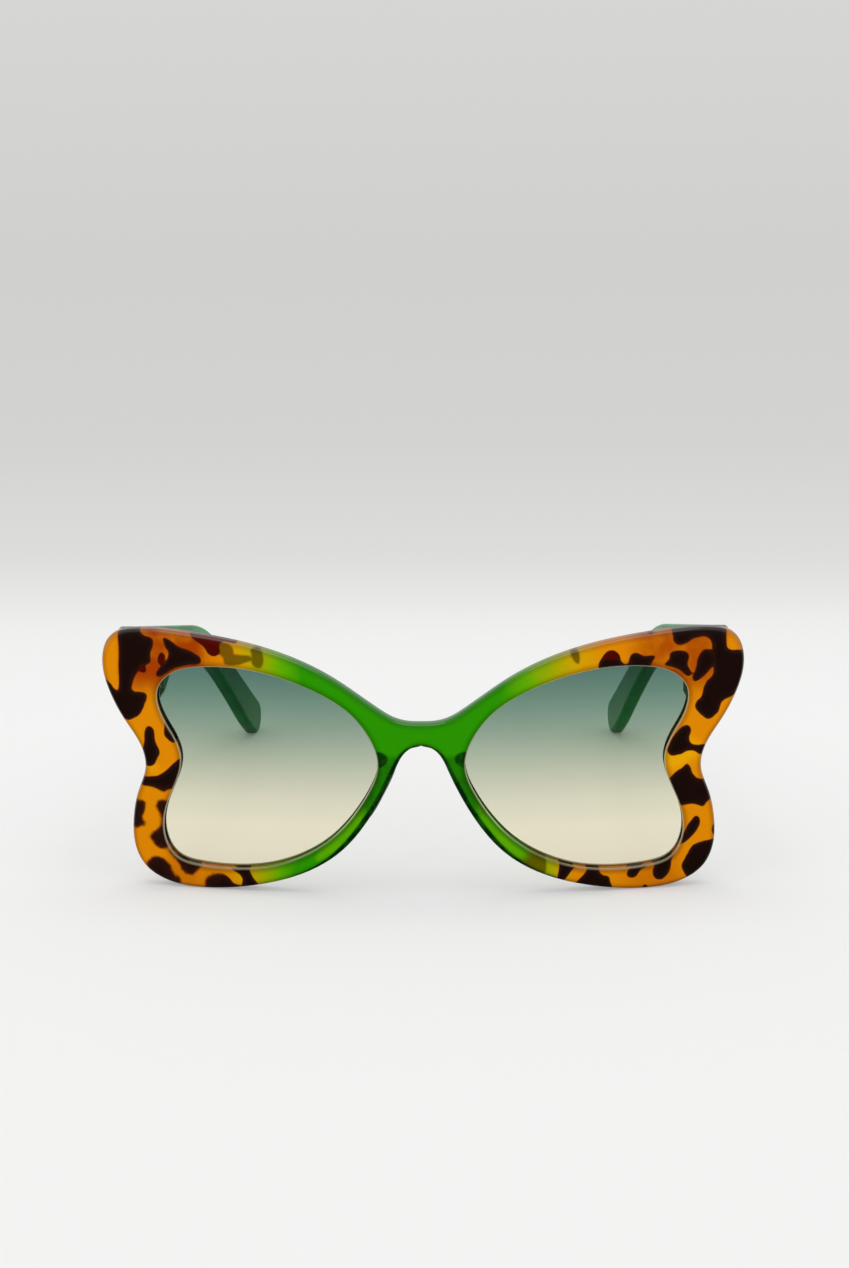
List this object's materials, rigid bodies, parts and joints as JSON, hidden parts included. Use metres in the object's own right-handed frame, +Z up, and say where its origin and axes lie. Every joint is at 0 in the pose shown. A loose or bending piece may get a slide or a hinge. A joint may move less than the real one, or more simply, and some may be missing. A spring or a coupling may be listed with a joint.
{
  "type": "butterfly sunglasses",
  "caption": "Oversize butterfly sunglasses with a tortoise and green plastic front, gradient tinted lenses and green temples that fold on barrel hinges.",
  "frame": {"origin": "on the table the glasses stand on, at the middle of the footprint of the front and the open temples", "axes": "+Z up, -Y the way the wearer looks, +X the wearer's left"},
  "size_m": [0.148, 0.1483, 0.0617],
  "materials": {
    "tortoise_plastic": "polished translucent amber plastic with dark brown spots, running into green at the bridge",
    "green_plastic": "polished translucent dark green plastic",
    "tinted_lens": "clear plastic tinted grey-green at the top, fading to pale cream at the bottom",
    "hinge_metal": "stamped nickel silver",
    "screw_metal": "polished stainless steel"
  },
  "bodies": {
    "front": {"front_frame": "tortoise_plastic", "left_lens": "tinted_lens", "right_lens": "tinted_lens", "left_nose_pad": "green_plastic", "right_nose_pad": "green_plastic", "left_front_leaf": "hinge_metal", "right_front_leaf": "hinge_metal", "left_hinge_screw": "screw_metal", "right_hinge_screw": "screw_metal", "left_front_leaf_screws": "screw_metal", "right_front_leaf_screws": "screw_metal"},
    "left_arm": {"left_temple": "green_plastic", "left_temple_leaf": "hinge_metal", "left_temple_leaf_screws": "screw_metal"},
    "right_arm": {"right_temple": "green_plastic", "right_temple_leaf": "hinge_metal", "right_temple_leaf_screws": "screw_metal"}
  },
  "joints": [
    {"name": "left_temple_fold", "type": "hinge", "parent": "front", "child": "left_arm", "pos_m": [0.0648, -0.05516, 0.0523], "axis": [0, 0, 1], "range_deg": [0, 86]},
    {"name": "right_temple_fold", "type": "hinge", "parent": "front", "child": "right_arm", "pos_m": [-0.0648, -0.05516, 0.0523], "axis": [0, 0, -1], "range_deg": [0, 81]}
  ]
}
